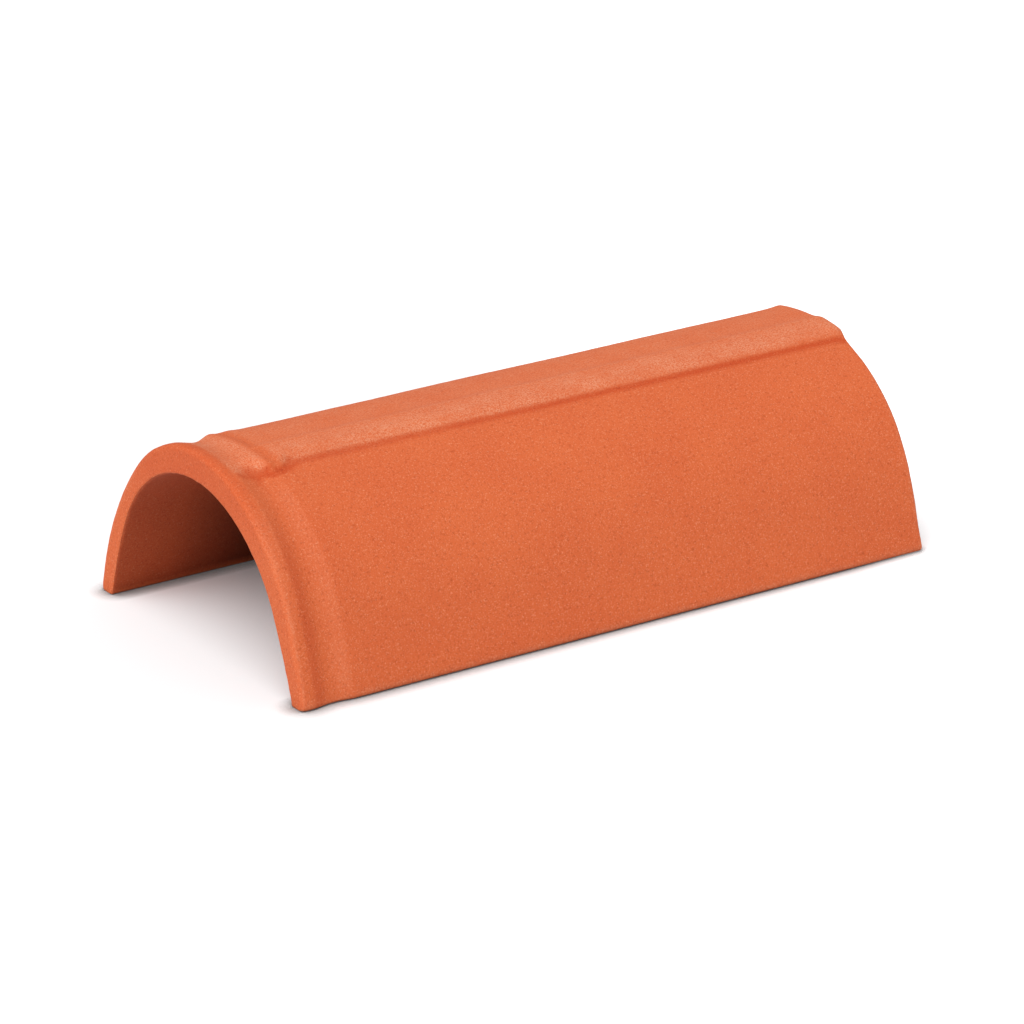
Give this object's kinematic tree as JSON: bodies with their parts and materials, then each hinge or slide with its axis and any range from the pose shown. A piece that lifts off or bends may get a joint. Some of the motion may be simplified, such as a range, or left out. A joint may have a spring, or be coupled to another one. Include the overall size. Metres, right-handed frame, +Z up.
{
  "type": "ridge tile",
  "caption": "Half-round unglazed clay ridge tile with a raised crest band, a cross bead and a recessed front lap, to cap the ridge of a tiled roof.",
  "frame": {"origin": "centre of the tile's footprint on the floor", "axes": "+X along the tile from the lapped front end to the far end, +Y across the arch, +Z up"},
  "size_m": [0.4, 0.2109, 0.1114],
  "materials": {
    "terracotta": "unglazed fired clay, matt, finely speckled"
  },
  "bodies": {
    "root": {"ridge_tile": "terracotta"}
  },
  "joints": []
}
